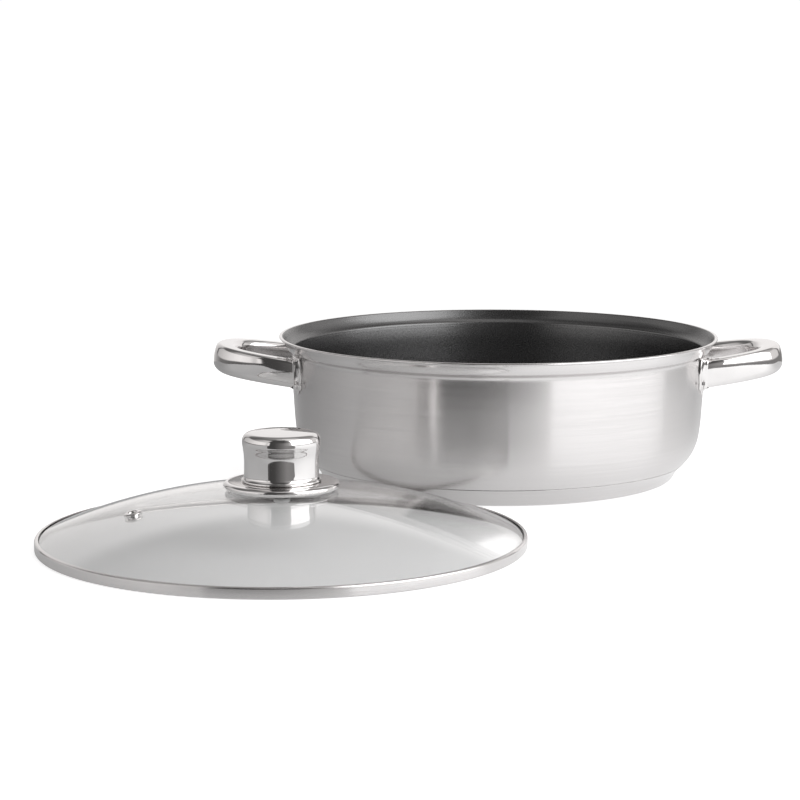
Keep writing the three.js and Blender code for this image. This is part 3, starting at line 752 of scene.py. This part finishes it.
table_mesh = bpy.data.meshes.new("table")
corners = rounded([(-1.0, -1.0), (-0.75, -1.0), (-0.27, -0.4), (-0.06, -0.4), (-0.002, -0.382), (0.12, -0.5), (0.40, -0.9), (0.95, -0.9), (0.95, 0.55), (-1.0, 0.55)], 0.012, 6)
table_mesh.from_pydata([(x, y, -0.0006) for x, y in corners], [], [list(range(len(corners)))])
table = bpy.data.objects.new("table", table_mesh)
scene.collection.objects.link(table)
# Painted light: the table is a dark grey sheet that glows, and its glow stands in for the studio light falling on it.
tb = Nodes("table_painted_glow", Metallic=0.0, Roughness=0.8)
tb.to("Base Color", tb.ramp(tb.noise((9, 9, 9), 3.0, 0.5), [(0.3, (0.265, 0.27, 0.275)), (0.7, (0.28, 0.285, 0.29))]))
tb_xyz = tb.node("ShaderNodeSeparateXYZ")
tb.link(tb.coords((1, 1, 1)), tb_xyz.inputs["Vector"])


def painted_glow_fade(axis, stops):
    lo, hi = stops[0][0], stops[-1][0]
    m = tb.node("ShaderNodeMapRange")
    m.inputs["From Min"].default_value, m.inputs["From Max"].default_value = lo, hi
    tb.link(tb_xyz.outputs[axis], m.inputs["Value"])
    return tb.ramp(m.outputs["Result"], [((x - lo) / (hi - lo), v) for x, v in stops])


# Painted light: the glow's strength across the table, dim on the left, bright on the right, and weaker towards the
# back.
TABLE_GLOW_X = [(-1.0, 0.3), (-0.48, 0.29), (-0.3, 0.26), (-0.2, 0.36), (-0.13, 0.42), (-0.05, 0.5), (0.0, 0.68), (0.08, 0.84), (0.15, 0.9), (0.3, 0.92), (0.95, 0.92)]
TABLE_GLOW_Y = [(-1.0, 1.0), (-0.1, 1.0), (0.0, 0.8), (0.1, 0.6), (0.2, 0.5), (0.55, 0.45)]
tb_glow = tb.node("ShaderNodeEmission")
tb.link(tb.mix(painted_glow_fade("X", TABLE_GLOW_X), painted_glow_fade("Y", TABLE_GLOW_Y), 1.0, "MULTIPLY"), tb_glow.inputs["Color"])
tb_add = tb.node("ShaderNodeAddShader")
tb.link(tb.bsdf.outputs["BSDF"], tb_add.inputs[0])
tb.link(tb_glow.outputs["Emission"], tb_add.inputs[1])
one_sided(tb, tb_add.outputs["Shader"])
table_mesh.materials.append(tb.mat)
table.visible_camera = False


# ---------------------------------------------------------------- light
def card(name, centre, look, width, height, radiance):
    """A soft panel, seen only in reflections, that shines from centre towards look."""
    d = bpy.data.lights.new(name, "AREA")
    d.shape = "RECTANGLE"
    d.size, d.size_y = width, height
    d.energy = radiance * width * height * math.pi
    d.color = (0.985, 0.99, 1.0)
    ob = bpy.data.objects.new(name, d)
    scene.collection.objects.link(ob)
    ob.location = centre
    ob.rotation_euler = (Vector(look) - Vector(centre)).to_track_quat("-Z", "Y").to_euler()
    ob.visible_camera = False
    return ob


card("card_right", (1.231, -0.793, 1.38), (0.664, -0.597, 1.38), 2.13, 2.52, 2.05)

# The room: brightness by compass direction (0 is towards the camera, to the right is positive) at five heights.
ROOM_LOW = [(-180, 0.7), (-165, 0.75), (-150, 0.5), (-120, 0.2), (-60, 0.14), (-40, 0.14), (-33, 0.06), (-18, 0.07), (-6, 0.12), (8, 0.2), (20, 0.28), (60, 0.25), (120, 0.25), (150, 0.25), (180, 0.7)]
ROOM_MID = [(-180, 1.0), (-172, 0.96), (-163, 0.78), (-156, 0.68), (-147, 0.66), (-144, 0.15), (-140, 0.15), (-137, 0.55), (-100, 0.8), (-85, 0.94), (-60, 1.1), (-47, 1.02), (-42, 0.75), (-39, 0.75), (-37, 1.0), (-34, 1.0), (-32, 0.06), (-18, 0.07), (-6, 0.12), (8, 0.2), (18, 0.34), (25, 0.42), (28, 0.6), (92, 0.9), (133, 0.8), (136, 0.15), (140, 0.15), (143, 1.0), (180, 1.0)]
ROOM_HIGH = [(-180, 0.3), (-150, 0.2), (-130, 0.12), (-105, 0.2), (-80, 0.5), (-50, 0.7), (-42, 0.7), (-35, 0.06), (12, 0.09), (28, 0.28), (33, 0.5), (38, 0.92), (60, 0.98), (125, 0.5), (145, 0.3), (180, 0.3)]
ROOM_UPPER = [(-180, 0.5), (-120, 0.2), (-60, 0.14), (-48, 0.12), (-42, 0.08), (32, 0.08), (42, 0.9), (60, 1.0), (140, 1.0), (180, 0.7)]
ROOM_TOP = 0.75
WARM = (1.0, 0.978, 0.97)
world = bpy.data.worlds.new("studio")
scene.world = world
world.use_nodes = True
wt = world.node_tree
wt.nodes.clear()


def w_node(kind, **settings):
    n = wt.nodes.new(kind)
    for k, v in settings.items():
        setattr(n, k, v)
    return n


w_co = w_node("ShaderNodeTexCoord")
w_sep = w_node("ShaderNodeSeparateXYZ")
wt.links.new(w_co.outputs["Generated"], w_sep.inputs["Vector"])
w_neg = w_node("ShaderNodeMath", operation="MULTIPLY")
w_neg.inputs[1].default_value = -1
wt.links.new(w_sep.outputs["Y"], w_neg.inputs[0])
w_turn = w_node("ShaderNodeMath", operation="ARCTAN2")
wt.links.new(w_sep.outputs["X"], w_turn.inputs[0])
wt.links.new(w_neg.outputs[0], w_turn.inputs[1])
w_map = w_node("ShaderNodeMapRange")
w_map.inputs["From Min"].default_value = -math.pi
w_map.inputs["From Max"].default_value = math.pi
wt.links.new(w_turn.outputs[0], w_map.inputs["Value"])


def round_room(stops):
    n = w_node("ShaderNodeValToRGB")
    el = n.color_ramp.elements
    while len(el) < len(stops):
        el.new(0.5)
    for e, (deg, v) in zip(el, stops):
        e.position, e.color = (deg + 180) / 360, (v, v, v, 1)
    wt.links.new(w_map.outputs["Result"], n.inputs["Fac"])
    return n.outputs["Color"]


def above(lower, upper, start, end):
    """lower up to the start angle over the horizon, upper from the end angle on."""
    up = w_node("ShaderNodeMapRange", interpolation_type="SMOOTHSTEP")
    up.inputs["From Min"].default_value, up.inputs["From Max"].default_value = math.sin(math.radians(start)), math.sin(math.radians(end))
    wt.links.new(w_sep.outputs["Z"], up.inputs["Value"])
    m = w_node("ShaderNodeMix", data_type="RGBA")
    wt.links.new(up.outputs["Result"], m.inputs[0])
    wt.links.new(lower, m.inputs[6])
    if hasattr(upper, "links"):
        wt.links.new(upper, m.inputs[7])
    else:
        m.inputs[7].default_value = (upper, upper, upper, 1)
    return m.outputs[2]


w_all = above(round_room(ROOM_LOW), round_room(ROOM_MID), -1, 1)
w_all = above(w_all, round_room(ROOM_HIGH), 26, 34)
w_all = above(w_all, round_room(ROOM_UPPER), 58, 64)
w_all = above(w_all, ROOM_TOP, 80, 87)
w_warm = w_node("ShaderNodeMix", data_type="RGBA", blend_type="MULTIPLY")
w_warm.inputs[0].default_value = 1.0
w_warm.inputs[7].default_value = (*WARM, 1)
wt.links.new(w_all, w_warm.inputs[6])
w_bg = w_node("ShaderNodeBackground")
wt.links.new(w_warm.outputs[2], w_bg.inputs["Color"])
w_cam = w_node("ShaderNodeBackground")
w_cam.inputs["Color"].default_value = (1, 1, 1, 1)
w_cam.inputs["Strength"].default_value = 1.02
w_path = w_node("ShaderNodeLightPath")
w_mix = w_node("ShaderNodeMixShader")
wt.links.new(w_path.outputs["Is Camera Ray"], w_mix.inputs["Fac"])
wt.links.new(w_bg.outputs["Background"], w_mix.inputs[1])
wt.links.new(w_cam.outputs["Background"], w_mix.inputs[2])
w_out = w_node("ShaderNodeOutputWorld")
wt.links.new(w_mix.outputs["Shader"], w_out.inputs["Surface"])
scene.view_settings.view_transform = "Standard"
